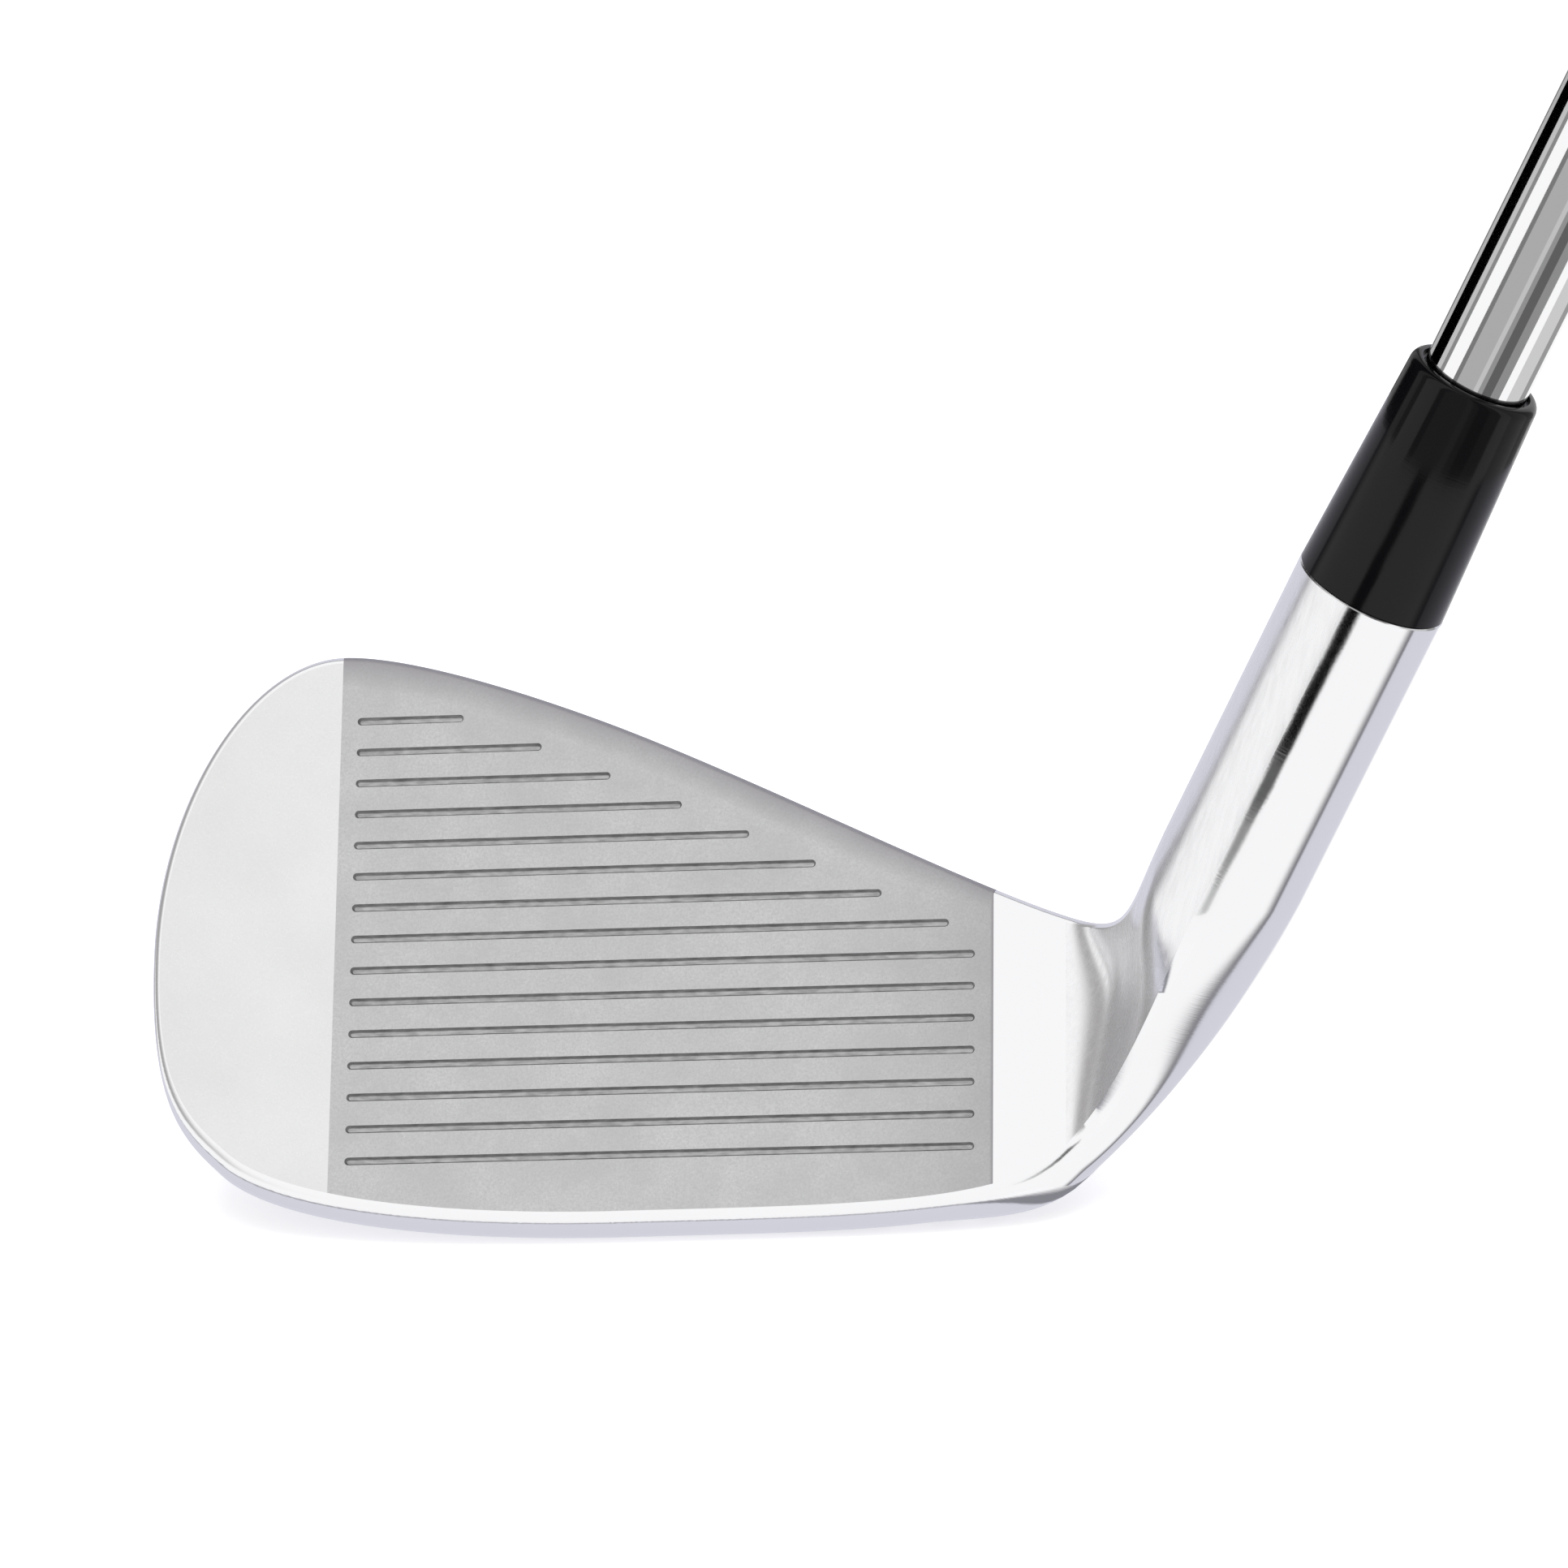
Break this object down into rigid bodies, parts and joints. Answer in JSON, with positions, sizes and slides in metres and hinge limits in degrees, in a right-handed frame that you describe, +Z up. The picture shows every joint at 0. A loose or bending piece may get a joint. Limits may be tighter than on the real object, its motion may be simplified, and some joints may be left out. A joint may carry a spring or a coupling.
{
  "type": "iron golf club",
  "caption": "Short iron golf club: lofted steel blade head with scored face, hosel and ferrule, stepped steel shaft, and a tapered rubber grip with end cap.",
  "frame": {"origin": "the middle of the golfer's hold, on the shaft's axis, 780 mm from the ground along it", "axes": "+Z up at address, +X towards the heel, the way the shaft leans, and -Y the way the striking face points"},
  "size_m": [0.5162, 0.0516, 0.8158],
  "materials": {
    "satin_steel": "polished and brushed, with a blasted hitting area",
    "foam_tape": "matt",
    "brushed_aluminium": "brushed",
    "epoxy_resin": "cured resin",
    "brass": "turned",
    "chromed_steel": "mirror plated",
    "gloss_black": "gloss",
    "foil": "satin foil, no print",
    "paper_tape": "crepe paper",
    "grip_rubber": "moulded, textured",
    "cap_rubber": "moulded"
  },
  "bodies": {
    "root": {"iron_head": "satin_steel", "badge_pad": "foam_tape", "cavity_badge": "brushed_aluminium", "hosel_epoxy": "epoxy_resin", "tip_weight": "brass", "shaft": "chromed_steel", "ferrule": "gloss_black", "shaft_band": "foil", "grip_tape": "paper_tape", "grip_sleeve": "grip_rubber", "grip_end_cap": "cap_rubber"}
  },
  "joints": []
}
